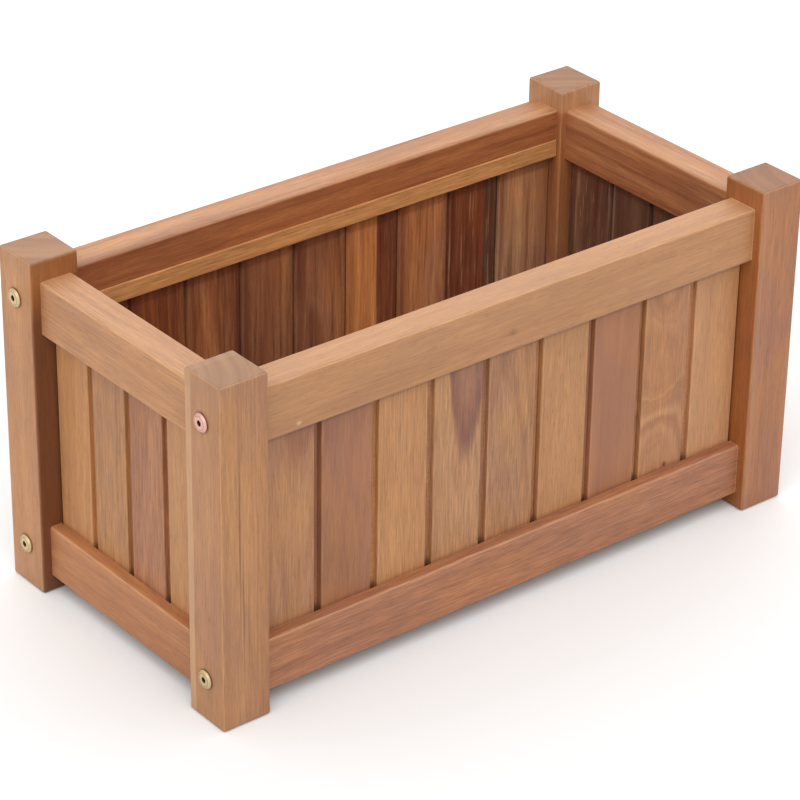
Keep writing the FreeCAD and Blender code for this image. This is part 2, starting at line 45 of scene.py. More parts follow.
# Turns that lay a board's length along the third axis of its own space.
UPRIGHT = (0.0, 0.0, 0.0)
LENGTHWISE = (0.0, -math.pi / 2, 0.0)
CROSSWISE = (math.pi / 2, 0.0, 0.0)

# Turns about the upright axis that bring each wall's outer face to the front.
LONG_WALLS = ("front", "back")
WALL_TURNS = {"front": 0.0, "right": -math.pi / 2, "back": math.pi, "left": math.pi / 2}

# Half length, half width and top of the space inside the walls, in metres.
INSIDE = (0.2228, 0.0978, 0.2395)

# Where the walls run up against the posts, and heights of the ledge, top rails and beads, in metres.
NOOK = (0.212, 0.087)
LEDGE = 0.052
RAIL_FOOT = 0.200
RAIL_TOP = 0.240
BEAD_TOP = 0.2165

# Bands, or widths of bands, in which a mark on a board fades, in metres.
# NOOK_EDGE, NOOK_FADE and GLOOM_FADE bound the painted shade on the posts beside the walls.
NOOK_EDGE = (0.0002, 0.0016)
NOOK_FADE = 0.002
GLOOM_FADE = (RAIL_FOOT + 0.006, RAIL_FOOT + 0.034)
GROOVE_FOOT = (LEDGE, LEDGE + 0.006)
# SLAT_FOOT and SLAT_HEAD bound the painted shade at the ends of the slats.
SLAT_FOOT = (LEDGE, LEDGE + 0.004)
SLAT_HEAD = (RAIL_FOOT - 0.0085, RAIL_FOOT - 0.0055)
UPPER_FACE = (-0.0008, -0.0001)
# WALL_FACE, RIM_FADE and the rise after them bound the painted shade inside the box.
WALL_FACE = (-0.0004, 0.0004)
RIM_FADE = (INSIDE[2] - 0.002, INSIDE[2])
INSIDE_SHADE_RISE = (0.130, 0.180)

# Tongue of a slat, in millimetres: its hidden, open and whole widths, and half its thickness.
TONGUE_REACH = 4.5
TONGUE_SHOW = 6.0
TONGUE_WIDTH = TONGUE_REACH + TONGUE_SHOW
TONGUE_HALF = 2.0

# Bands, or widths of bands, in which a mark on a board fades, in millimetres.
INWARD = (-1.0, 1.0)
HEART_EDGE = (-0.8, 0.8)
HEART_RIM = (-5.0, -0.5)
SAP_EDGE = 1.0
SAWN_EDGE = (-2.0, -0.5)
STAIN_REACH = (-16.0, 0.0)
SOOT_EDGE = (-10.0, -1.0)
TONGUE_EDGE = (0.0, 0.4)
TONGUE_SIDE = 0.3
FACE_SIDE = 0.5
LINE_EDGE = (0.5, 1.7)
# Band of the painted shadow round a bolt head.
BOLT_SHADOW_BAND = (0.3, 2.0)
OUTER_FACE = 0.3

# How far the edges of marks wander with the patterns in the wood, in millimetres.
PITH_WANDER = 10.0
RING_WANDER = 2.4
HEART_WANDER = 0.96
SAP_WANDER = 3.0
WEAR_WANDER = 1.5
STAIN_WANDER = 30.0
SOOT_WANDER = 18.0
LINE_WANDER = 0.8

# How much the patterns add to the roughness of the oiled wood and to its height.
FIBRE_ROUGHNESS = 0.25
PORE_ROUGHNESS = 0.12
FIBRE_HEIGHT = 0.5
PORE_HEIGHT = 0.6
RING_HEIGHT = 0.2

# Corner bolts, in millimetres: width of the head, radius of its groove and of its socket, and bands on it.
BOLT_HEAD = 13.5
BOLT_GROOVE = 4.8
SOCKET_RADIUS = 2.4
GROOVE_BAND = (0.1, 0.55)
HEAD_RIM = (-0.3, -0.05)
SOCKET_RIM = (-0.2, 0.1)
SOCKET_MOUTH = 0.5
BOLT_SIDE = (0.0, 1.0)

# Shades and roughness from the least to the most of a pattern, and what a socket adds.
TONGUE_SHADES = (0.4, 1.6)
# Least and most of the painted shade inside the box, from low down to high up.
INSIDE_SHADE_LEVELS = (0.45, 1.0)
BRASS_SHADES = (0.83, 1.17)
BRASS_ROUGHNESS = (0.4, 0.6)
ZINC_SHADES = (0.8, 1.1)
ZINC_ROUGHNESS = (0.3, 0.55)
SOCKET_ROUGHNESS = 0.2

# Patterns: waves per millimetre on three axes, and how much finer detail they carry.
PATTERNS = {
    "drift": ((0.012, 0.012, 0.004), 2.0),
    "ripple": ((0.20, 0.20, 0.022), 2.0),
    "rings": ((0.17, 0.004, 0.01), 5.0),
    "flame": ((0.045, 0.002, 0.004), 2.0),
    "fibre": ((0.95, 0.95, 0.045), 4.0),
    "vessels": ((1.9, 1.9, 0.11), 2.0),
    "streaks": ((0.14, 0.14, 0.004), 3.0),
    "chalk": ((0.65, 0.65, 0.028), 3.0),
    "saw": ((0.25, 0.25, 0.9), 2.0),
    "soot": ((0.33, 0.33, 0.014), 4.0),
    "clouds": ((0.03, 0.03, 0.011), 3.0),
    "blush": ((0.026, 0.026, 0.010), 2.0),
    "tarnish": ((0.5, 0.5, 0.5), 3.0),
    "grit": ((4.0, 4.0, 4.0), 2.0),
}
PATTERN_ROUGHNESS = 0.55

# Level round which a pattern varies, and the levels between which its marks go from nothing to all.
MEAN = 0.5
MARK_LEVELS = {
    "rings": (0.34, 0.66),
    "flame": (0.35, 0.68),
    "vessels": (0.56, 0.74),
    "streaks": (0.50, 0.72),
    "chalk": (0.57, 0.70),
    "saw": (0.3, 0.7),
    "soot": (0.48, 0.72),
    "blush": (0.36, 0.64),
}

# First seed of each group of pieces, and how a seed moves the patterns.
SEEDS = {
    "posts": 1, "rails": 11, "slats": 21, "beads": 51, "ledgers": 55, "floor_boards": 61,
    "bolts": 3, "steel": 7,
}
PATTERN_STEP = 3
SEED_STEP = (17.3, 31.7, 23.9)


def linear(code):
    """Turn a written colour such as C08A5E into the scene's linear red, green and blue."""
    shades = [int(code[at:at + 2], 16) / 255 for at in (0, 2, 4)]
    return tuple(s / 12.92 if s <= 0.04045 else ((s + 0.055) / 1.055) ** 2.4 for s in shades)


def colour(name, code, description):
    """Property that holds one colour of a finish."""
    return bpy.props.FloatVectorProperty(
        name=name, description=description, subtype="COLOR", size=3, min=0.0, max=1.0, default=linear(code)
    )


def share(name, default, description):
    """Property that holds a share between nothing and all."""
    return bpy.props.FloatProperty(
        name=name, description=description, subtype="FACTOR", min=0.0, max=1.0, default=default
    )


def length(name, default, description):
    """Property that holds a length in metres."""
    return bpy.props.FloatProperty(
        name=name, description=description, subtype="DISTANCE", unit="LENGTH",
        min=0.0, precision=5, default=default,
    )


def angle(name, degrees, description):
    """Property that holds an angle, written in degrees."""
    return bpy.props.FloatProperty(
        name=name, description=description, subtype="ANGLE", unit="ROTATION", default=math.radians(degrees)
    )


class TeakSettings(bpy.types.PropertyGroup):
    """Tones and surface of the oiled teak."""

    honey: colour("Honey", "C38D5A", "Light yellow-tan boards")
    sand: colour("Sand", "BD8B5E", "Greyish tan boards")
    rose: colour("Rose", "B27A53", "Pinkish brown boards")
    tan: colour("Tan", "BE8A5C", "Posts and rails")
    cedar: colour("Cedar", "AF7549", "Darker, redder rails")
    russet: colour("Russet", "9C6240", "Dark red boards inside the box")
    umber: colour("Umber", "C69468", "Brown boards inside the box")
    walnut: colour("Walnut", "7E6150", "Darkest boards inside the box")
    ochre: colour("Ochre", "DDA365", "Bead strips and one yellow board inside the box")
    heart: colour("Heartwood", "AC7B5C", "Purple-brown heart of a log")
    bruise: colour("Bruise", "B89AA0", "Tint of the purple rim round a heart")
    # Sapwood's tone also paints the sheen on the top rails' upper faces.
    sapwood: colour("Sapwood", "D9B48C", "Pale streaks of sapwood")
    blush: colour("Blush", "E7DEEE", "Tint of the mauve clouds in a board")
    gilt: colour("Gilt", "FBF0DA", "Tint of the yellow wood between those clouds")
    # Painted shade: the deeper tone laid on the faces inside the box, where less light falls.
    inside_shade_tint: colour("Sheltered", "EECFB2", "Tint of the faces inside the box, which light hasn't bleached")
    # Late wood's tint also paints the shade on the tongues between the slats.
    late_wood_and_groove_shade: colour("Late wood", "C3A090", "Tint of the dark part of a growth ring")
    # Also the tint of the painted shade on posts, slats, ledges and round the bolts.
    pore_and_shade: colour("Pores", "8A6652", "Tint of the open pores and dark seams")
    # Painted shade: tint of the posts' faces in the nooks beside the walls.
    nook: colour("Nook", "F0D9A6", "Tint of the posts' faces beside the walls")
    end_grain: colour("End grain", "946E4D", "Greyish sawn ends of the posts")
    end_brown: colour("Brown end grain", "8E6340", "Sawn ends of the posts that stay brown")
    # Pale edges: partly wear, partly a painted highlight where the rounded edges catch the light.
    worn_and_lit_edge: colour("Worn edge", "DCAE82", "Wood rubbed pale along an edge")
    edge_width: length("Edge width", 0.0015, "How far the rubbed edge reaches into a face")
    edge_wear_and_highlight: share("Edge wear", 0.4, "How pale the rubbed edges are")
    # Partly painted shade: the tongues lie in a recess between the slats.
    groove_shade: share("Groove shade", 0.25, "How dark the tongues are between two slats")
    fibre_contrast: share("Fibre contrast", 0.6, "How much the fine fibres differ in shade")
    cloud_contrast: share("Cloud contrast", 0.28, "How much broad patches differ in shade")
    pore_depth: length("Pore depth", 0.0001, "Depth of the open pores")
    gloss: share("Gloss", 0.45, "Smoothness of the oiled surface")
    sheen: share("Sheen", 0.7, "Strength of the oil's reflections")
    sap_side: share("Sapwood side", 0.4, "How pale the sapwood side of a post is")
    sawn_end: share("Sawn ends", 0.5, "How much of the end grain's tone the sawn ends take")
    end_stain: share("End stain", 0.2, "How much of that tone creeps down a post")
    end_rings: share("End rings", 0.35, "How dark the growth rings are on the sawn ends")
    groove_line: share("Groove line", 0.7, "How dark the line along a tongue is")
    # Painted shade at the foot of a groove.
    groove_foot: share("Groove foot", 0.4, "How dark the foot of a groove is")
    # Painted shade: share of a post's darkening beside the walls that reaches above the top rails' feet.
    nook_gloom: share("Nook gloom", 0.6, "How much of a post's gloom reaches above the top rails' feet")
    # Painted shadow round each bolt head on the posts.
    bolt_shadow: share("Bolt grime", 0.3, "How dark the wood is round a bolt")
    # Painted shade at the ends of the slats, under the top rails and beads and at their feet.
    slat_grime: share("Slat grime", 0.35, "How dark a slat is where it runs into the rails")
    # Painted shade on the upper faces of the bottom rails and beads.
    ledge_shade: share("Ledge dust", 0.1, "How dull the upper faces of the bottom rails and beads are")
    # Painted sheen on the upper faces of the top rails, laid in the sapwood's pale tone.
    painted_top_sheen: share("Fading", 0.08, "How faded the upper faces of the top rails are")


class FixingSettings(bpy.types.PropertyGroup):
    """Tones of the metal fixings."""

    brass: colour("Brass", "D0BA90", "Plated heads of the corner bolts")
    copper: colour("Copper", "DFB0A0", "The one bolt with a copper plating")
    socket: colour("Socket", "2A2017", "Hexagon sockets of the bolts")
    steel: colour("Steel", "A9A69F", "Screws and threaded inserts")
    turning: length("Turning marks", 0.00045, "Distance between two turning marks on a bolt's head")
    turning_depth: length("Turning depth", 0.00002, "Depth of the turning marks")
    grit_depth: length("Grit depth", 0.00003, "Depth of the roughness of plated steel")
    # Painted shade on the bolt heads: a dark ring in the groove round the socket, and a dark rim.
    bolt_groove_shade: share("Groove dirt", 0.4, "How dark the groove round a bolt's socket is")
    bolt_rim_shade: share("Rim dirt", 0.6, "How dark the rim of a bolt's head is")


class StudioSettings(bpy.types.PropertyGroup):
    """Camera, lamps and floor of the studio."""

    azimuth: angle("Azimuth", -38.94, "Camera's turn about the upright axis")
    elevation: angle("Elevation", 29.046, "Camera's height above the horizon")
    roll: angle("Roll", 0.864, "Camera's turn about its own line of sight")
    distance: length("Distance", 2.354183, "Camera to the point that it looks at")
    aim: bpy.props.FloatVectorProperty(
        name="Aim", description="Point that the camera looks at", subtype="TRANSLATION", unit="LENGTH",
        size=3, default=(-0.004935, 0.001746, 0.109456),
    )
    focal_pixels: bpy.props.FloatProperty(
        name="Focal length", description="Focal length in pixels of the frame", min=100.0, default=3368.322
    )
    sky: share("Sky", 0.95, "Level of the light from all sides")
    lamp: bpy.props.FloatProperty(
        name="Lamp", description="Strength of the broad lamp overhead", min=0.0, default=1.2
    )
    lamp_spread: angle("Lamp spread", 60.0, "Breadth of both lamps as the box sees them")
    lamp_tilt: angle("Lamp tilt", 38.0, "Lamp's lean from straight overhead")
    lamp_turn: angle("Lamp turn", -45.0, "Lamp's turn about the upright axis")
    rim: bpy.props.FloatProperty(
        name="Rim lamp", description="Strength of the lamp behind the box", min=0.0, default=0.5
    )
    rim_tilt: angle("Rim tilt", 58.0, "Rim lamp's lean from straight overhead")
    rim_turn: angle("Rim turn", 141.0, "Rim lamp's turn about the upright axis")
    floor: colour("Floor", "F2F2F2", "Studio floor as the camera sees it")
    floor_bounce: colour("Floor bounce", "BCBCBC", "Studio floor as it lights the box")
    floor_size: length("Floor size", 12.0, "Side of the studio floor")


class Level:
    """A number that varies over a surface, on which Python's operators add Math nodes."""

    def __init__(self, finish, socket):
        self.finish = finish
        self.socket = socket

    def __add__(self, other):
        return self.finish.math("ADD", self, other)

    def __radd__(self, other):
        return self.finish.math("ADD", other, self)

    def __sub__(self, other):
        return self.finish.math("SUBTRACT", self, other)

    def __rsub__(self, other):
        return self.finish.math("SUBTRACT", other, self)

    def __mul__(self, other):
        return self.finish.math("MULTIPLY", self, other)

    def __rmul__(self, other):
        return self.finish.math("MULTIPLY", other, self)

    def __truediv__(self, other):
        return self.finish.math("DIVIDE", self, other)

    def __pow__(self, other):
        return self.finish.math("POWER", self, other)

    def __neg__(self):
        return self.finish.math("MULTIPLY", self, -1.0)

    def __abs__(self):
        return self.finish.math("ABSOLUTE", self)


class Finish:
    """Node tree of one surface, and the steps that the finishes share."""

    def __init__(self, owner, seed=0):
        owner.use_nodes = True
        self.owner = owner
        self.tree = owner.node_tree
        self.tree.nodes.clear()
        self.seed = seed

    def node(self, kind, settings, values):
        """Add a node: its settings first, then the values or links of its sockets, by name or number."""
        made = self.tree.nodes.new(kind)
        for key, setting in settings.items():
            setattr(made, key, setting)
        for key, value in values.items():
            named = (item for item in made.inputs if item.enabled and item.name == key)
            socket = made.inputs[key] if isinstance(key, int) else next(named)
            source = value.socket if isinstance(value, Level) else value
            if isinstance(source, bpy.types.NodeSocket):
                self.tree.links.new(source, socket)
            else:
                socket.default_value = source
        return made

    def math(self, operation, *operands):
        """Number worked out by one Math node."""
        made = self.node("ShaderNodeMath", {"operation": operation}, dict(enumerate(operands)))
        return Level(self, made.outputs[0])

    def blend(self, first, second, factor, way="MIX"):
        """Colour mixed from two."""
        settings = {"data_type": "RGBA", "blend_type": way}
        made = self.node("ShaderNodeMix", settings, {"Factor": factor, "A": solid(first), "B": solid(second)})
        return next(item for item in made.outputs if item.enabled)

    def ramp(self, value, low, high):
        """Smooth rise from nothing at low to all at high."""
        made = self.node(
            "ShaderNodeMapRange", {"interpolation_type": "SMOOTHSTEP"},
            {"Value": value, "From Min": low, "From Max": high},
        )
        return Level(self, made.outputs[0])

    def split(self, vector):
        """Three numbers of a vector."""
        made = self.node("ShaderNodeSeparateXYZ", {}, {"Vector": vector})
        return [Level(self, item) for item in made.outputs]

    def place(self, middle=(0.0, 0.0, 0.0), turn=UPRIGHT):
        """Point of the object in millimetres, moved from a middle and turned."""
        spot = self.node("ShaderNodeTexCoord", {}, {}).outputs["Object"]
        shift = [-step for step in middle]
        values = {"Vector": spot, "Location": shift, "Rotation": turn, "Scale": (MM, MM, MM)}
        return self.node("ShaderNodeMapping", {"vector_type": "POINT"}, values).outputs[0]

    def noise(self, vector, pattern):
        """Noise node of one of the patterns, different on every piece."""
        stretch, detail = PATTERNS[pattern]
        turn = self.seed + len(pattern) + PATTERN_STEP * list(PATTERNS).index(pattern)
        values = {"Vector": vector, "Location": [turn * step for step in SEED_STEP], "Scale": stretch}
        shifted = self.node("ShaderNodeMapping", {"vector_type": "POINT"}, values)
        values = {
            "Vector": shifted.outputs[0], "Scale": 1.0, "Detail": detail, "Roughness": PATTERN_ROUGHNESS,
        }
        return self.node("ShaderNodeTexNoise", {"noise_dimensions": "3D"}, values)

    def level(self, vector, pattern):
        """Pattern as a number round its mean."""
        return Level(self, self.noise(vector, pattern).outputs[0])

    def marks(self, vector, pattern):
        """Pattern as marks that go from nothing to all."""
        return self.ramp(self.level(vector, pattern), *MARK_LEVELS[pattern])

    def distance(self, aside, beside):
        """Distance covered by two steps at a right angle."""
        return self.math("SQRT", aside ** 2.0 + beside ** 2.0)

    def seen(self):
        """All for the rays that show the studio to the eye, nothing for those that light the box."""
        path = self.node("ShaderNodeLightPath", {}, {})
        first, *others = [Level(self, path.outputs[ray]) for ray in SEEN_RAYS]
        for ray in others:
            first = self.math("MAXIMUM", first, ray)
        return first

    def close(self, constants, base, roughness, height, depth, metal=0.0):
        """Close the tree with a shader and its bump."""
        bump = self.node("ShaderNodeBump", {}, {"Strength": 1.0, "Distance": depth, "Height": height})
        varied = {"Base Color": solid(base), "Roughness": roughness, "Metallic": metal}
        values = {**constants, **varied, "Normal": bump.outputs[0]}
        shader = self.node("ShaderNodeBsdfPrincipled", {}, values)
        self.node("ShaderNodeOutputMaterial", {}, {"Surface": shader.outputs[0]})

    def dress(self, node):
        """Put the material on every face of a piece."""
        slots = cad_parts[node].material_slots
        if not slots:
            raise RuntimeError(f"{node} has no material slot")
        for slot in slots:
            slot.material = self.owner


def solid(paint):
    """Give a plain colour its fourth number; leave links as they are."""
    if isinstance(paint, (bpy.types.NodeSocket, Level)):
        return paint
    return (*tuple(paint)[:3], 1.0)


@dataclass(frozen=True)
class Mark:
    """Soft spot on a board: its middle, and its reach across and along the grain."""

    across: float
    along: float
    wide: float
    tall: float
    strength: float = 1.0


@dataclass(frozen=True)
class Cut:
    """How one board was cut from its log. Lengths are in millimetres from the board's own middle."""

    tone: str = "tan"
    pith: tuple = (70.0, 40.0)
    lean: tuple = (0.0, 0.02)
    rings: float = 0.25
    growth: float = 1.0
    streaks: float = 0.2
    flame: float = 0.2
    blush: float = 0.4
    clouds: float = 1.0
    pores: float = 0.3
    fibre: float = 1.5
    chalk: float = 0.0
    # How dark the smudges inside the box are, with painted shade along the edges.
    soot: float = 0.0
    shade: float = 1.0
    outer: str = ""
    # How pale the edges are, by wear and painted highlight.
    wear: float = 0.5
    # Share of the painted shade on the faces inside the box.
    inside_shade: float = 0.7
    sap: float = 0.0
    ends: str = "end_grain"
    # How high the painted shade on a post's faces beside the walls reaches, and how dark it is low down.
    nook: float = RAIL_TOP
    gloom: float = 0.0
    heart: str = ""
    heart_reach: float = 0.0
    heart_rim: float = 0.0
    groove_line: float = TONGUE_SHOW
    swells: tuple = ()
    knots: tuple = ()
    seams: tuple = ()
    nicks: tuple = ()


def smudged_inside(tone, outer, *figures, **marks):
    """Cut of a slat with dark smudges inside the box and painted shade along its edges there, and another
    tone outside.
    """
    return Cut(tone, *figures, outer=outer, soot=0.5, **marks)


# Slats of each wall from left to right, seen from outside.
FRONT_SLATS = (
    Cut(
        "sand", (9.0, 36.9), (0.02, -0.06), 0.30, 2.0, 0.25, blush=0.55, shade=1.06,
        heart="rose", heart_reach=40.0, heart_rim=0.1,
    ),
    Cut(
        "rose", (-80.0, 30.0), (0.10, 0.02), 0.20, 1.0, 0.05, blush=0.75, clouds=2.5, pores=0.15, shade=0.9,
        groove_line=0.0,
    ),
    Cut("honey", (95.0, 25.0), (0.0, 0.02), 0.15, 1.0, 0.05, blush=0.15, fibre=2.0, shade=1.02),
    Cut(
        "sand", (11.5, 34.5), (0.03, -0.055), 0.20, 2.0, 0.10, blush=0.3, fibre=2.3, shade=0.99,
        heart="heart", heart_reach=40.0, heart_rim=0.7,
    ),
    Cut("sand", (-4.0, 24.0), (0.01, 0.10), 0.50, 1.6, 0.10, blush=0.7, fibre=2.3, shade=0.95),
    Cut(
        "honey", (-90.0, 20.0), (0.0, 0.01), 0.12, 1.0, 0.08, blush=0.2, pores=0.5, shade=0.96,
        groove_line=0.0,
    ),
    Cut(
        "rose", (75.0, 40.0), (0.01, 0.02), 0.15, 1.0, 0.15, blush=0.7, pores=0.1, fibre=0.5,
        groove_line=0.0,
    ),
    Cut(
        "sand", (2.0, 30.0), (0.02, 0.06), 0.50, 2.0, 0.05, blush=0.6, pores=0.15, shade=1.12,
        groove_line=0.0, knots=(Mark(9.5, -75.0, 1.8, 2.0),),
        swells=(Mark(9.5, -75.0, 6.5, 13.0, 4.0), Mark(2.0, 5.0, 22.0, 45.0, 14.0)),
    ),
    Cut("sand", (60.0, 60.0), (0.0, 0.02), 0.12, 1.0, 0.08, blush=0.35, shade=1.17),
)
BACK_SLATS = (
    smudged_inside(
        "sapwood", "honey", (70.0, 30.0), (0.0, 0.03), 0.45, 1.0, 0.40, 0.4,
        blush=0.6, clouds=2.0, shade=1.17,
    ),
    smudged_inside(
        "russet", "sand", (-110.0, 20.0), (0.0, 0.02), 0.60, 1.0, 0.60, 0.5,
        blush=0.7, clouds=2.0, fibre=2.0, chalk=0.5, shade=1.15, heart="walnut", heart_reach=105.0,
    ),
    smudged_inside(
        "umber", "rose", (60.0, 50.0), (0.02, 0.02), 0.40, 1.0, 0.30, 0.4,
        blush=0.6, clouds=2.0, shade=1.32,
    ),
    smudged_inside(
        "ochre", "sand", (-95.0, 10.0), (0.0, 0.01), 0.50, 1.0, 0.40, 0.4,
        blush=0.5, chalk=0.25, shade=1.3, heart="russet", heart_reach=95.5,
    ),
    smudged_inside(
        "umber", "honey", (10.0, 28.0), (0.01, 0.06), 0.50, 1.5, 0.60, 0.6,
        blush=0.8, clouds=2.5, fibre=1.8, shade=0.97,
    ),
    smudged_inside(
        "umber", "sand", (-70.0, 30.0), (0.0, 0.03), 0.50, 1.0, 0.40, 0.6,
        blush=0.7, clouds=2.5, shade=0.9,
    ),
    smudged_inside(
        "umber", "rose", (15.0, 22.0), (0.02, 0.09), 0.70, 1.5, 0.60, 0.8,
        blush=0.8, clouds=3.0, fibre=2.0, chalk=0.15, shade=0.97,
    ),
    smudged_inside(
        "honey", "honey", (80.0, 30.0), (0.0, 0.02), 0.60, 1.0, 0.60, 0.8,
        blush=0.8, clouds=3.0, fibre=2.0, shade=1.12,
    ),
    smudged_inside("russet", "sand", (-60.0, 36.0), (0.0, 0.03), 0.50, 1.0, 0.50, 0.6, clouds=2.5),
)
LEFT_SLATS = (
    Cut("honey", (66.0, 30.0), (0.02, 0.03), 0.25, 1.0, 0.10, blush=0.4, shade=1.06),
    Cut("honey", (-75.0, 30.0), (0.0, 0.02), 0.20, 1.0, 0.12, blush=0.5, fibre=2.2, shade=0.91),
    Cut("rose", (12.0, 30.0), (0.02, 0.06), 0.40, 1.5, 0.12, blush=0.4, fibre=2.4, shade=1.02),
    Cut("honey", (80.0, 24.0), (0.0, 0.02), 0.20, 1.0, 0.10, blush=0.2),
)
RIGHT_SLATS = (
    smudged_inside("umber", "honey", (70.0, 28.0), (0.0, 0.03), 0.40, 1.0, 0.30, 0.5, clouds=2.0),
    smudged_inside("walnut", "sand", (-8.0, 26.0), (0.01, 0.07), 0.50, 1.5, 0.40, 0.5, clouds=2.5, shade=1.1),
    smudged_inside(
        "walnut", "rose", (-80.0, 24.0), (0.0, 0.02), 0.50, 1.0, 0.50, 0.5, clouds=2.5, shade=0.95,
        nicks=(Mark(16.1, 40.0, 2.6, 50.0, 0.4),),
    ),
    smudged_inside(
        "walnut", "honey", (85.0, 20.0), (0.0, 0.02), 0.60, 1.0, 0.70, 0.5, clouds=3.0, chalk=0.7, shade=1.3,
        nicks=(Mark(12.0, 58.0, 1.5, 12.0, 0.35), Mark(14.0, 25.0, 1.0, 35.0, 0.35)),
    ),
)
SLATS = {"front": FRONT_SLATS, "back": BACK_SLATS, "left": LEFT_SLATS, "right": RIGHT_SLATS}
POSTS = {
    "front_left": Cut(
        "tan", (-60.0, 26.0), (0.03, 0.01), 0.20, 1.0, 0.10, blush=0.6, wear=1.0, sap=11.5,
        seams=(
            Mark(-4.5, 20.0, 0.6, 55.0, 0.8),
            Mark(-2.0, -35.0, 0.5, 40.0, 0.6),
            Mark(2.0, -50.0, 0.5, 25.0, 0.4),
        ),
    ),
    "front_right": Cut(
        "rose", (70.0, -30.0), (0.01, 0.02), 0.20, 1.0, 0.15, blush=0.8, shade=1.02, wear=1.0,
        ends="end_brown", nook=1.0, nicks=(Mark(-15.5, 0.0, 2.4, 400.0, 0.12),),
    ),
    "back_left": Cut(
        "tan", (50.0, 60.0), (0.0, 0.02), 0.20, 1.0, 0.15, blush=0.5, shade=1.1, wear=1.0,
        nook=1.0, gloom=0.6,
    ),
    "back_right": Cut(
        "tan", (-40.0, -50.0), (0.02, 0.01), 0.30, 1.0, 0.25, wear=1.0,
        ends="end_brown", nook=0.0, gloom=0.1,
    ),
}
RAILS = {
    "front_top": Cut(
        "tan", (-30.0, 60.0), (0.0, 0.02), 0.20, 1.0, 0.12, blush=0.25, fibre=1.2, wear=1.5,
        swells=(Mark(6.7, -6.3, 5.0, 12.0, 5.0),), knots=(Mark(6.7, -6.3, 2.6, 3.4, 0.45),),
        nicks=(Mark(14.6, -183.0, 1.5, 1.8, 0.8),),
    ),
    "front_bottom": Cut(
        "rose", (-50.0, 40.0), (0.01, 0.02), 0.28, 1.5, 0.32, blush=0.6, fibre=2.5, shade=1.07, wear=0.9,
    ),
    "back_top": Cut(
        "tan", (30.0, -50.0), (0.0, 0.02), 0.45, 1.0, 0.70, 0.4, clouds=1.5, fibre=1.8, shade=1.12,
        inside_shade=1.0, soot=0.2,
    ),
    "back_bottom": Cut("cedar", (60.0, -40.0), (0.01, 0.01), 0.35, 1.0, 0.30),
    "left_top": Cut(
        "tan", (-55.0, 40.0), (0.02, 0.03), 0.25, 1.0, 0.15, clouds=1.5, fibre=1.7, shade=1.07, wear=1.5,
    ),
    "left_bottom": Cut(
        "cedar", (40.0, 46.0), (0.02, 0.03), 0.30, 1.0, 0.18, blush=0.05, clouds=1.5, shade=1.16, wear=1.0,
    ),
    "right_top": Cut(
        "tan", (45.0, -40.0), (0.03, 0.02), 0.50, 1.0, 0.70, 0.4, clouds=1.5, fibre=1.8, shade=1.12,
        inside_shade=0.4,
    ),
    "right_bottom": Cut("cedar", (-40.0, -50.0), (0.02, 0.03), 0.35, 1.0, 0.30),
}
BEAD = Cut(
    "ochre", (50.0, 24.0), (0.0, 0.01), 0.25, 1.0, 0.30, blush=0.1, clouds=1.5, pores=0.35, fibre=2.2,
    wear=0.0, inside_shade=0.18,
)
LEDGER = Cut("cedar", (40.0, 30.0), (0.0, 0.02), 0.35)
FLOOR_TONES = ("sand", "rose", "honey", "tan", "sand", "cedar", "honey", "sand", "rose")
FLOOR_BOARDS = tuple(
    Cut(tone, (side * 40.0, 30.0), (0.01, side * 0.03), 0.35)
    for tone, side in zip(FLOOR_TONES, cycle((1, -1)))
)


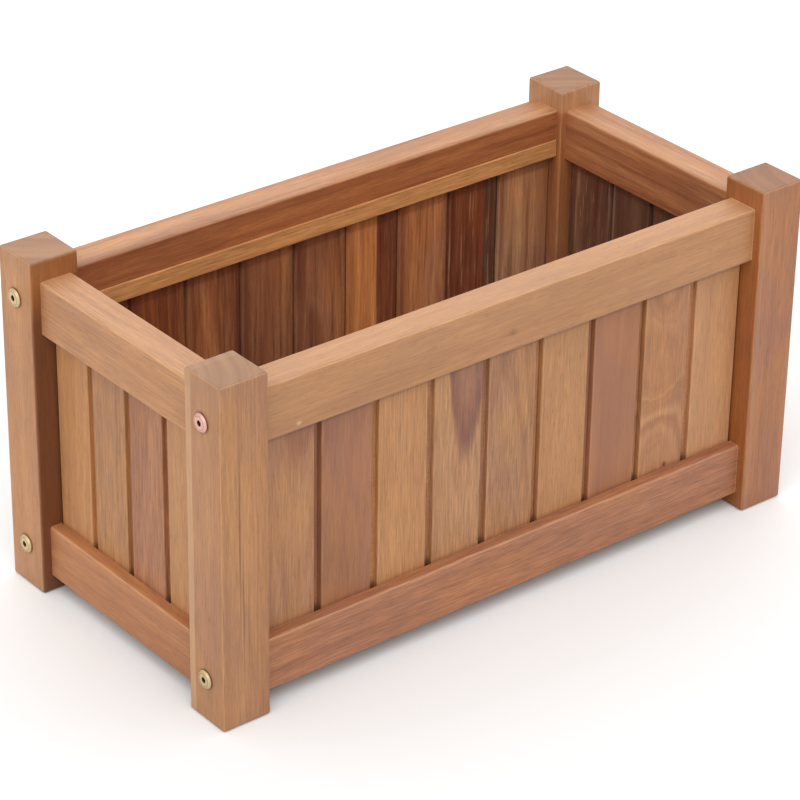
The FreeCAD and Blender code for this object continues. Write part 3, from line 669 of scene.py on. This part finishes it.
class Board(Finish):
    """Teak of one board, worked out across, through and along it in millimetres from its middle."""

    def __init__(self, teak, node, cut, turn, seed, tongue=0):
        super().__init__(bpy.data.materials.new(f"teak_{node}"), seed)
        self.teak = teak
        self.cut = cut
        self.tongue = tongue
        spin = Euler(turn).to_matrix()
        corners = [MM * (spin @ corner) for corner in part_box(node)]
        low = Vector(map(min, *corners))
        high = Vector(map(max, *corners))
        self.half = (high - low) / 2
        self.outer = max(abs(low.x), abs(high.x))
        self.grain = self.place((low + high) / 2, turn)
        self.across, self.through, self.along = self.split(self.grain)
        self.world = self.split(self.node("ShaderNodeTexCoord", {}, {}).outputs["Object"])
        self.fibre = self.level(self.grain, "fibre") - MEAN
        self.clouds = self.level(self.grain, "clouds") - MEAN
        self.pores = self.marks(self.grain, "vessels")
        self.base = Vector(getattr(teak, cut.tone)) * cut.shade
        self.inward = 1.0
        if cut.outer:
            self.inward = self.ramp(self.through, *INWARD)
            self.base = self.blend(getattr(teak, cut.outer), self.base, self.inward)

    def cover(self, paint, factor):
        """Lay a colour over the wood."""
        self.base = self.blend(self.base, paint, factor)

    def tint(self, paint, factor):
        """Darken the wood with a tint."""
        self.base = self.blend(self.base, paint, factor, "MULTIPLY")

    def spot(self, mark):
        """Soft spot, all at its middle."""
        across = (self.across - mark.across) / mark.wide
        along = (self.along - mark.along) / mark.tall
        return self.math("EXPONENT", -(across ** 2.0 + along ** 2.0)) * mark.strength

    def upper_face(self, height):
        """All on a face that looks up at a height."""
        return self.ramp(self.world[2] - height, *UPPER_FACE)

    def grow(self):
        """Growth rings and heart round the pith, pushed aside by knots."""
        cut = self.cut
        teak = self.teak
        drift = self.split(self.noise(self.grain, "drift").outputs[1])
        ripple = self.level(self.grain, "ripple") - MEAN
        aside = self.across - cut.pith[0] - self.along * cut.lean[0]
        behind = self.through - cut.pith[1] - self.along * cut.lean[1]
        if cut.heart:
            edge = self.distance(aside, behind) + ripple * HEART_WANDER - cut.heart_reach
            self.cover(getattr(teak, cut.heart), (1.0 - self.ramp(edge, *HEART_EDGE)) * self.inward)
            rim = self.ramp(edge, *HEART_RIM) * (1.0 - self.ramp(edge, HEART_RIM[1], HEART_EDGE[1]))
            self.tint(teak.bruise, rim * cut.heart_rim)
        aside = aside + (drift[0] - MEAN) * PITH_WANDER
        behind = behind + (drift[1] - MEAN) * PITH_WANDER
        radius = self.distance(aside, behind) + ripple * RING_WANDER
        for mark in cut.swells:
            radius = radius + self.spot(mark)
        values = {"X": radius * cut.growth, "Y": self.along, "Z": self.through}
        growth = self.node("ShaderNodeCombineXYZ", {}, values).outputs[0]
        self.rings = self.marks(growth, "rings")
        blush = self.marks(self.grain, "blush")
        self.tint(teak.blush, blush * cut.blush)
        self.tint(teak.gilt, (1.0 - blush) * cut.blush)
        self.tint(teak.late_wood_and_groove_shade, self.marks(growth, "flame") * cut.flame)
        self.tint(teak.late_wood_and_groove_shade, self.rings * cut.rings)

    def weather(self):
        """Fibres, pores, streaks, knots and other marks."""
        cut = self.cut
        teak = self.teak
        self.tint(teak.late_wood_and_groove_shade, self.marks(self.grain, "streaks") * cut.streaks)
        self.tint(teak.pore_and_shade, self.pores * cut.pores)
        fibre = self.fibre * (teak.fibre_contrast * cut.fibre)
        clouds = self.clouds * (teak.cloud_contrast * cut.clouds)
        self.tint(1.0 + fibre + clouds, 1.0)
        if cut.chalk:
            self.cover(teak.sapwood, self.marks(self.grain, "chalk") * self.inward * cut.chalk)
        if cut.sap:
            sap = self.ramp(self.through + self.clouds * SAP_WANDER, cut.sap, cut.sap + SAP_EDGE)
            self.cover(teak.sapwood, sap * teak.sap_side)
        for mark in (*cut.knots, *cut.seams):
            self.tint(teak.pore_and_shade, self.spot(mark))
        for mark in cut.nicks:
            self.cover(teak.sapwood, self.spot(mark) * self.inward)

    def rub_and_light_edges(self):
        """Pale edges, partly wear and partly a painted highlight where they catch the light."""
        left = -self.half.x + TONGUE_WIDTH * (self.tongue < 0)
        right = self.half.x - TONGUE_WIDTH * (self.tongue > 0)
        sides = self.math("MAXIMUM", left - self.across, self.across - right)
        faces = abs(self.through) - self.half.y
        ends = abs(self.along) - self.half.z
        lesser = self.math("MINIMUM", sides, faces)
        greater = self.math("MAXIMUM", sides, faces)
        near = self.math("MAXIMUM", lesser, self.math("MINIMUM", greater, ends))
        worn_and_lit = self.ramp(near + self.fibre * WEAR_WANDER, -self.teak.edge_width * MM, 0.0)
        self.cover(self.teak.worn_and_lit_edge, worn_and_lit * (self.teak.edge_wear_and_highlight * self.cut.wear))

    def saw_ends(self):
        """End grain with its rings, and the stain that creeps down from it."""
        teak = self.teak
        out = abs(self.along) - self.half.z
        sawn = self.ramp(out, *SAWN_EDGE)
        stain = self.ramp(out + self.clouds * STAIN_WANDER, *STAIN_REACH)
        self.cover(getattr(teak, self.cut.ends), sawn * teak.sawn_end + stain * teak.end_stain)
        self.tint(teak.late_wood_and_groove_shade, sawn * self.rings * teak.end_rings)

    def shade_tongue(self):
        """Rough tongue between two slats, darker partly for its rough sawn wood and partly by painted shade
        in its recess, with a dark line along one side and painted shade at its foot.
        """
        teak = self.teak
        out = self.across * self.tongue - (self.half.x - TONGUE_WIDTH)
        low = 1.0 - self.ramp(abs(self.through), TONGUE_HALF + TONGUE_SIDE, self.half.y - FACE_SIDE)
        saw = self.marks(self.grain, "saw")
        bare = self.ramp(out, *TONGUE_EDGE) * low
        line = abs(out - self.cut.groove_line) + (saw - MEAN) * LINE_WANDER
        line = 1.0 - self.ramp(line, *LINE_EDGE)
        # Painted shade at the foot of the groove, by the bottom rail.
        foot = 1.0 - self.ramp(self.world[2], *GROOVE_FOOT)
        self.tint(teak.late_wood_and_groove_shade, bare * between(*TONGUE_SHADES, saw) * teak.groove_shade)
        self.tint(teak.pore_and_shade, bare * self.math("MAXIMUM", line * teak.groove_line, foot * teak.groove_foot))

    def paint_post_shade(self):
        """Painted shade on a post's faces beside the walls, and a painted shadow ring round its bolts."""
        cut = self.cut
        teak = self.teak
        aside, deep, up = self.world
        clear = self.math("MINIMUM", abs(aside) - NOOK[0], abs(deep) - NOOK[1])
        beside = 1.0 - self.ramp(clear, *NOOK_EDGE)
        below = beside * (1.0 - self.ramp(up, cut.nook - NOOK_FADE, cut.nook))
        # Painted shade in the nooks beside the walls, darkest below the top rails' feet.
        self.tint(teak.nook, below)
        self.tint(teak.pore_and_shade, below * (teak.nook_gloom * cut.gloom))
        self.tint(teak.pore_and_shade, beside * (1.0 - self.ramp(up, *GLOOM_FADE)) * cut.gloom)
        # Painted shadow in a ring round each bolt head, on the posts' outer faces.
        around = 1.0 - self.ramp(bolt_radius(self, deep * MM, up * MM) - BOLT_HEAD / 2, *BOLT_SHADOW_BAND)
        outside = self.ramp(abs(aside) * MM, self.outer - OUTER_FACE, self.outer)
        self.tint(teak.pore_and_shade, around * outside * teak.bolt_shadow)

    def shade_ledge(self, height):
        """Painted shade that dulls the upper face of a bottom rail or bead."""
        self.tint(self.teak.pore_and_shade, self.upper_face(height) * self.teak.ledge_shade)

    def paint_top_sheen(self):
        """Painted sheen that makes the upper face of a top rail paler."""
        self.cover(self.teak.sapwood, self.upper_face(RAIL_TOP) * self.teak.painted_top_sheen)

    def shade_slat_ends(self):
        """Painted shade where a slat runs into the rails: under the top rail or bead, and at its foot."""
        head = self.ramp(self.world[2], *SLAT_HEAD)
        foot = 1.0 - self.ramp(self.world[2], *SLAT_FOOT)
        self.tint(self.teak.pore_and_shade, (head + foot) * self.teak.slat_grime)

    def inside_shade(self):
        """Painted shade on the faces inside the box: a deeper tone, most of all near its rim."""
        cut = self.cut
        aside, deep, up = self.world
        out = self.math("MAXIMUM", abs(aside) - INSIDE[0], abs(deep) - INSIDE[1])
        inside = (1.0 - self.ramp(out, *WALL_FACE)) * (1.0 - self.ramp(up, *RIM_FADE))
        shade = between(*INSIDE_SHADE_LEVELS, self.ramp(up, *INSIDE_SHADE_RISE))
        self.tint(self.teak.inside_shade_tint, inside * shade * cut.inside_shade)
        if cut.soot:
            # Dark smudges, and painted shade in soft bands along the edges, on the faces inside the box.
            side = abs(self.across) - self.half.x + self.clouds * SOOT_WANDER
            soot = self.math("MAXIMUM", self.marks(self.grain, "soot"), self.ramp(side, *SOOT_EDGE))
            self.tint(self.teak.pore_and_shade, inside * soot * cut.soot)

    def oil(self):
        """Satin surface that follows the pores and fibres."""
        teak = self.teak
        roughness = 1.0 - teak.gloss + self.fibre * FIBRE_ROUGHNESS + self.pores * PORE_ROUGHNESS
        height = 1.0 - self.pores * PORE_HEIGHT - self.rings * RING_HEIGHT + self.fibre * FIBRE_HEIGHT
        self.close({"Specular IOR Level": teak.sheen}, self.base, roughness, height, teak.pore_depth)


def between(low, high, mark):
    """Number that goes from low to high as a mark goes from nothing to all."""
    return low + (high - low) * mark


def bolt_radius(finish, deep, up):
    """Distance from the axis of the nearest corner bolt, in millimetres."""
    low, high = (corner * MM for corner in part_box("corner_bolts"))
    beside = abs(deep) - (high.y - BOLT_HEAD / 2)
    over = abs(up - (low.z + high.z) / 2) - (high.z - low.z - BOLT_HEAD) / 2
    return finish.distance(beside, over)


def finish_board(context, node, cut, turn, seed, tongue=0):
    """Give one board the teak that its cut describes."""
    board = Board(context.scene.planter_teak, node, cut, turn, seed, tongue)
    board.grow()
    board.weather()
    if node.startswith("post_"):
        board.saw_ends()
    board.rub_and_light_edges()
    if tongue:
        board.shade_tongue()
    if node.startswith("post_"):
        board.paint_post_shade()
    elif node.startswith("slat_bead_"):
        board.shade_ledge(BEAD_TOP)
    elif node.startswith("slat_"):
        board.shade_slat_ends()
    elif node.endswith("_bottom"):
        board.shade_ledge(LEDGE)
    elif node.endswith("_top"):
        board.paint_top_sheen()
    board.inside_shade()
    board.oil()
    board.dress(node)


class PLANTER_OT_posts(bpy.types.Operator):
    """Finish the four corner posts"""

    bl_idname = "planter.posts"
    bl_label = "Posts"

    def execute(self, context):
        for seed, (corner, cut) in enumerate(POSTS.items(), start=SEEDS["posts"]):
            finish_board(context, f"post_{corner}", cut, UPRIGHT, seed)
        return {"FINISHED"}


class PLANTER_OT_rails(bpy.types.Operator):
    """Finish the top and bottom rails of the four walls"""

    bl_idname = "planter.rails"
    bl_label = "Rails"

    def execute(self, context):
        for seed, (spot, cut) in enumerate(RAILS.items(), start=SEEDS["rails"]):
            turn = LENGTHWISE if spot.startswith(LONG_WALLS) else CROSSWISE
            finish_board(context, f"rail_{spot}", cut, turn, seed)
        return {"FINISHED"}


class PLANTER_OT_slats(bpy.types.Operator):
    """Finish the tongue-and-groove slats of the four walls"""

    bl_idname = "planter.slats"
    bl_label = "Slats"

    def execute(self, context):
        seed = SEEDS["slats"]
        for wall, cuts in SLATS.items():
            turn = (0.0, 0.0, WALL_TURNS[wall])
            tongue, plain = (-1, 1) if wall in LONG_WALLS else (1, len(cuts))
            for number, cut in enumerate(cuts, start=1):
                finish_board(context, f"slat_{wall}_{number}", cut, turn, seed, tongue * (number != plain))
                seed += 1
        return {"FINISHED"}


class PLANTER_OT_beads(bpy.types.Operator):
    """Finish the strips that hold the slats in the long top rails"""

    bl_idname = "planter.beads"
    bl_label = "Beads"

    def execute(self, context):
        for seed, wall in enumerate(LONG_WALLS, start=SEEDS["beads"]):
            finish_board(context, f"slat_bead_{wall}", BEAD, LENGTHWISE, seed)
        return {"FINISHED"}


class PLANTER_OT_floor(bpy.types.Operator):
    """Finish the floor boards and the ledgers under them"""

    bl_idname = "planter.floor"
    bl_label = "Floor"

    def execute(self, context):
        for seed, wall in enumerate(LONG_WALLS, start=SEEDS["ledgers"]):
            finish_board(context, f"floor_ledger_{wall}", LEDGER, LENGTHWISE, seed)
        for place, cut in enumerate(FLOOR_BOARDS):
            finish_board(context, f"floor_board_{place + 1}", cut, CROSSWISE, SEEDS["floor_boards"] + place)
        return {"FINISHED"}


class PLANTER_OT_fixings(bpy.types.Operator):
    """Finish the corner bolts, threaded inserts and screws"""

    bl_idname = "planter.fixings"
    bl_label = "Fixings"

    def execute(self, context):
        metal = context.scene.planter_fixings
        self.finish_bolts(metal)
        for node in ("threaded_inserts", "ledger_screws", "floor_screws"):
            self.finish_steel(metal, node)
        return {"FINISHED"}

    def finish_bolts(self, metal):
        """Plated brass with turning marks round each bolt's own axis, painted shade on its groove and rim,
        and dark sockets.
        """
        finish = Finish(bpy.data.materials.new("plated_brass"), SEEDS["bolts"])
        low, high = (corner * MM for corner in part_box("corner_bolts"))
        spot = finish.place()
        along, across, up = finish.split(spot)
        radius = bolt_radius(finish, across, up)
        tarnish = finish.level(spot, "tarnish")
        left = finish.ramp(-along, *BOLT_SIDE)
        front = finish.ramp(-across, *BOLT_SIDE)
        upper = finish.ramp(up - (low.z + high.z) / 2, *BOLT_SIDE)
        base = finish.blend(metal.brass, metal.copper, left * front * upper)
        base = finish.blend(base, between(*BRASS_SHADES, tarnish), 1.0, "MULTIPLY")
        # Painted shade on each head: a dark groove ring round the socket, and a dark rim.
        groove = 1.0 - finish.ramp(abs(radius - BOLT_GROOVE), *GROOVE_BAND)
        rim = finish.ramp(radius - BOLT_HEAD / 2, *HEAD_RIM)
        dark_rings = finish.math("MAXIMUM", groove * metal.bolt_groove_shade, rim * metal.bolt_rim_shade)
        base = finish.blend(base, metal.socket, dark_rings)
        inside = 1.0 - finish.ramp(radius - SOCKET_RADIUS, *SOCKET_RIM)
        inside = inside * (1.0 - finish.ramp(abs(along), high.x - SOCKET_MOUTH, high.x))
        base = finish.blend(base, metal.socket, inside)
        roughness = between(*BRASS_ROUGHNESS, tarnish) + inside * SOCKET_ROUGHNESS
        turned = finish.math("SINE", radius * (2 * math.pi / (metal.turning * MM))) * 0.5 + 0.5
        finish.close({}, base, roughness, turned, metal.turning_depth, 1.0 - inside)
        finish.dress("corner_bolts")

    def finish_steel(self, metal, node):
        """Zinc-plated steel with a faint clouded sheen."""
        finish = Finish(bpy.data.materials.new(f"zinc_{node}"), SEEDS["steel"])
        spot = finish.place()
        tarnish = finish.level(spot, "tarnish")
        base = finish.blend(metal.steel, between(*ZINC_SHADES, tarnish), 1.0, "MULTIPLY")
        roughness = between(*ZINC_ROUGHNESS, tarnish)
        finish.close({}, base, roughness, finish.level(spot, "grit"), metal.grit_depth, 1.0)
        finish.dress(node)


class PLANTER_OT_studio(bpy.types.Operator):
    """Lay the floor, hang the lamps and place the camera"""

    bl_idname = "planter.studio"
    bl_label = "Studio"

    def execute(self, context):
        studio = context.scene.planter_studio
        context.scene.view_settings.view_transform = "Standard"
        self.lay_floor(context, studio)
        self.light(context, studio)
        self.place_camera(context, studio)
        return {"FINISHED"}

    def lay_floor(self, context, studio):
        """Pale floor that takes the box's shadow."""
        shape = bmesh.new()
        bmesh.ops.create_grid(shape, x_segments=2, y_segments=2, size=studio.floor_size / 2)
        mesh = bpy.data.meshes.new("studio_floor")
        shape.to_mesh(mesh)
        shape.free()
        floor = bpy.data.objects.new("studio_floor", mesh)
        context.scene.collection.objects.link(floor)
        finish = Finish(bpy.data.materials.new("studio_floor"))
        paint = finish.blend(studio.floor_bounce, studio.floor, finish.seen())
        shader = finish.node("ShaderNodeBsdfDiffuse", {}, {"Color": paint})
        finish.node("ShaderNodeOutputMaterial", {}, {"Surface": shader.outputs[0]})
        mesh.materials.append(finish.owner)

    def light(self, context, studio):
        """Light from all sides, a broad soft lamp overhead and one behind the box."""
        world = bpy.data.worlds.new("studio_sky")
        context.scene.world = world
        finish = Finish(world)
        lit = finish.node("ShaderNodeBackground", {}, {"Color": WHITE, "Strength": studio.sky})
        shown = finish.node("ShaderNodeBackground", {}, {"Color": WHITE, "Strength": 1.0})
        values = {0: finish.seen(), 1: lit.outputs[0], 2: shown.outputs[0]}
        both = finish.node("ShaderNodeMixShader", {}, values)
        finish.node("ShaderNodeOutputWorld", {}, {"Surface": both.outputs[0]})
        spread = studio.lamp_spread
        self.hang(context, "overhead_lamp", studio.lamp, spread, studio.lamp_tilt, studio.lamp_turn)
        self.hang(context, "rim_lamp", studio.rim, spread, studio.rim_tilt, studio.rim_turn)

    def hang(self, context, name, strength, spread, tilt, turn):
        """Hang one broad lamp."""
        lamp = bpy.data.lights.new(name, "SUN")
        lamp.energy = strength
        lamp.angle = spread
        hung = bpy.data.objects.new(name, lamp)
        hung.rotation_euler = (tilt, 0.0, turn)
        context.scene.collection.objects.link(hung)

    def place_camera(self, context, studio):
        """Camera at the chosen angle, with the frame's focal length."""
        turn, rise = studio.azimuth, studio.elevation
        back = Vector((math.sin(turn) * math.cos(rise), -math.cos(turn) * math.cos(rise), math.sin(rise)))
        right = Vector((math.cos(turn), math.sin(turn), 0.0))
        facing = Matrix((right, back.cross(right), back)).transposed()
        facing = facing @ Matrix.Rotation(studio.roll, 3, "Z")
        lens = bpy.data.cameras.new("studio_camera")
        lens.lens = studio.focal_pixels / FRAME_PIXELS * lens.sensor_width
        camera = bpy.data.objects.new("studio_camera", lens)
        spot = Vector(studio.aim) + back * studio.distance
        camera.matrix_world = Matrix.Translation(spot) @ facing.to_4x4()
        context.scene.collection.objects.link(camera)
        context.scene.camera = camera


class PLANTER_PT_sidebar(bpy.types.Panel):
    """Steps and settings of the planter box"""

    bl_idname = "PLANTER_PT_sidebar"
    bl_label = "Planter Box"
    bl_space_type = "VIEW_3D"
    bl_region_type = "UI"
    bl_category = "Planter"

    def draw(self, context):
        for step in OPERATORS:
            self.layout.operator(step.bl_idname)
        for group in SETTINGS:
            settings = getattr(context.scene, group)
            for name in type(settings).__annotations__:
                self.layout.prop(settings, name)


OPERATORS = (
    PLANTER_OT_posts, PLANTER_OT_rails, PLANTER_OT_slats, PLANTER_OT_beads, PLANTER_OT_floor,
    PLANTER_OT_fixings, PLANTER_OT_studio,
)
SETTINGS = {
    "planter_teak": TeakSettings,
    "planter_fixings": FixingSettings,
    "planter_studio": StudioSettings,
}
CLASSES = (*SETTINGS.values(), *OPERATORS, PLANTER_PT_sidebar)


def register():
    for item in CLASSES:
        bpy.utils.register_class(item)
    for name, group in SETTINGS.items():
        setattr(bpy.types.Scene, name, bpy.props.PointerProperty(type=group))


def unregister():
    for name in SETTINGS:
        delattr(bpy.types.Scene, name)
    for item in reversed(CLASSES):
        bpy.utils.unregister_class(item)


def main():
    """Finish every piece and set up the studio."""
    register()
    for step in OPERATORS:
        family, name = step.bl_idname.split(".")
        getattr(getattr(bpy.ops, family), name)()


if __name__ == "__main__":
    main()
